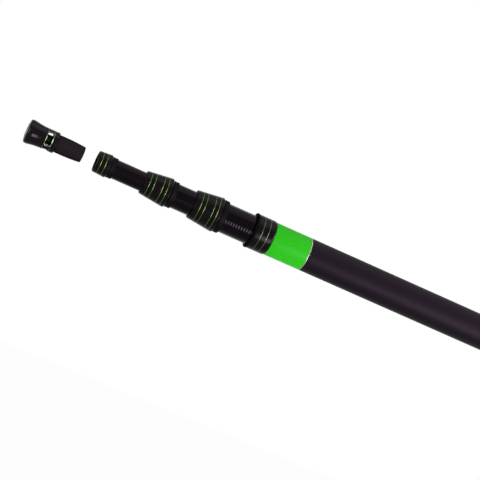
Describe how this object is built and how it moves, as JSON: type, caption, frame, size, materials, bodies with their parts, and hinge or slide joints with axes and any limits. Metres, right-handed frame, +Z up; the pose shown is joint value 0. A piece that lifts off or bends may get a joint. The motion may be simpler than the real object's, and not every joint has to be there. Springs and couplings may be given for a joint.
{
  "type": "boom pole",
  "caption": "Telescopic microphone boom pole of nested tubes with twist-lock nuts, a green band, a screw butt cap and a plug-in flared tip adapter with cable windows.",
  "frame": {"origin": "centre of the flat rear face of the butt pad", "axes": "+X along the pole from butt to tip, +Z up, +Y towards the side that the picture shows"},
  "size_m": [0.7763, 0.0382, 0.0382],
  "materials": {
    "main_tube": "satin charcoal lacquer on carbon fibre",
    "green_band": "plain green",
    "band_edge": "bright",
    "ferrule_main": "black anodised",
    "butt_ferrule": "black anodised",
    "butt_cap": "black anodised",
    "butt_pad": "matt black",
    "butt_seal": "matt black",
    "lock_nut_main": "gloss black anodised, green lines",
    "nut_lip_main": "matt black",
    "collet_main": "natural acetal",
    "tube_two": "tape-ribbed carbon fibre, clear lacquer",
    "guide_two": "natural acetal",
    "ferrule_two": "black anodised",
    "lock_nut_two": "gloss black anodised, green lines",
    "wiper_two": "matt black",
    "collet_two": "natural acetal",
    "tube_three": "tape-ribbed carbon fibre, clear lacquer",
    "guide_three": "natural acetal",
    "ferrule_three": "black anodised",
    "lock_nut_three": "gloss black anodised, green lines",
    "wiper_three": "matt black",
    "collet_three": "natural acetal",
    "tube_four": "carbon fibre, clear lacquer",
    "guide_four": "natural acetal",
    "tip_ferrule": "black anodised",
    "tip_lock_nut": "gloss black anodised, green lines",
    "tip_wiper": "matt black",
    "tip_collet": "natural acetal",
    "adapter_head": "gloss black anodised, bright-cut window edges",
    "adapter_stem": "matt charcoal anodised",
    "thread_insert": "turned"
  },
  "bodies": {
    "main": {"main_tube": "main_tube", "green_band": "green_band", "band_edge": "band_edge", "ferrule_main": "ferrule_main", "butt_ferrule": "butt_ferrule"},
    "butt_seal": {"butt_seal": "butt_seal"},
    "butt_cap": {"butt_cap": "butt_cap", "butt_pad": "butt_pad"},
    "main_collet": {"collet_main": "collet_main"},
    "main_nut": {"lock_nut_main": "lock_nut_main", "nut_lip_main": "nut_lip_main"},
    "section_two": {"tube_two": "tube_two", "guide_two": "guide_two", "ferrule_two": "ferrule_two"},
    "two_collet": {"collet_two": "collet_two"},
    "two_nut": {"lock_nut_two": "lock_nut_two", "wiper_two": "wiper_two"},
    "section_three": {"tube_three": "tube_three", "guide_three": "guide_three", "ferrule_three": "ferrule_three"},
    "three_collet": {"collet_three": "collet_three"},
    "three_nut": {"lock_nut_three": "lock_nut_three", "wiper_three": "wiper_three"},
    "section_four": {"tube_four": "tube_four", "guide_four": "guide_four", "tip_ferrule": "tip_ferrule"},
    "tip_collet": {"tip_collet": "tip_collet"},
    "tip_nut": {"tip_lock_nut": "tip_lock_nut", "tip_wiper": "tip_wiper"},
    "adapter": {"adapter_head": "adapter_head", "adapter_stem": "adapter_stem", "thread_insert": "thread_insert"}
  },
  "joints": [
    {"name": "section_two_slide", "type": "slide", "parent": "main", "child": "section_two", "axis": [1, 0, 0], "range_m": [-0.0302, 0.3518]},
    {"name": "section_three_slide", "type": "slide", "parent": "section_two", "child": "section_three", "axis": [1, 0, 0], "range_m": [-0.019, 0.4408]},
    {"name": "section_four_slide", "type": "slide", "parent": "section_three", "child": "section_four", "axis": [1, 0, 0], "range_m": [-0.0308, 0.4592]},
    {"name": "adapter_slide", "type": "slide", "parent": "section_four", "child": "adapter", "axis": [1, 0, 0], "range_m": [-0.0428, 0]},
    {"name": "main_collet_slide", "type": "slide", "parent": "main", "child": "main_collet", "axis": [1, 0, 0], "range_m": [0, 0.00101]},
    {"name": "main_nut_turn", "type": "hinge", "parent": "main_collet", "child": "main_nut", "pos_m": [0.5122, 0, 0], "axis": [1, 0, 0], "range_deg": [0, 180]},
    {"name": "two_collet_slide", "type": "slide", "parent": "section_two", "child": "two_collet", "axis": [1, 0, 0], "range_m": [0, 0.00101]},
    {"name": "two_nut_turn", "type": "hinge", "parent": "two_collet", "child": "two_nut", "pos_m": [0.5758, 0, 0], "axis": [1, 0, 0], "range_deg": [0, 180]},
    {"name": "three_collet_slide", "type": "slide", "parent": "section_three", "child": "three_collet", "axis": [1, 0, 0], "range_m": [0, 0.00101]},
    {"name": "three_nut_turn", "type": "hinge", "parent": "three_collet", "child": "three_nut", "pos_m": [0.6319, 0, 0], "axis": [1, 0, 0], "range_deg": [0, 180]},
    {"name": "tip_collet_slide", "type": "slide", "parent": "section_four", "child": "tip_collet", "axis": [1, 0, 0], "range_m": [0, 0.00101]},
    {"name": "tip_nut_turn", "type": "hinge", "parent": "tip_collet", "child": "tip_nut", "pos_m": [0.6923, 0, 0], "axis": [1, 0, 0], "range_deg": [0, 180]},
    {"name": "butt_seal_slide", "type": "slide", "parent": "main", "child": "butt_seal", "axis": [1, 0, 0], "range_m": [-0.00301, 0]},
    {"name": "butt_cap_turn", "type": "hinge", "parent": "butt_seal", "child": "butt_cap", "pos_m": [0.0052, 0, 0], "axis": [1, 0, 0], "range_deg": [-720, 0]}
  ],
  "couplings": [
    {"joint": "main_collet_slide", "follows": "main_nut_turn", "m_per_rad": 0.00031831},
    {"joint": "two_collet_slide", "follows": "two_nut_turn", "m_per_rad": 0.00031831},
    {"joint": "three_collet_slide", "follows": "three_nut_turn", "m_per_rad": 0.00031831},
    {"joint": "tip_collet_slide", "follows": "tip_nut_turn", "m_per_rad": 0.00031831},
    {"joint": "butt_seal_slide", "follows": "butt_cap_turn", "m_per_rad": 0.00023873}
  ]
}
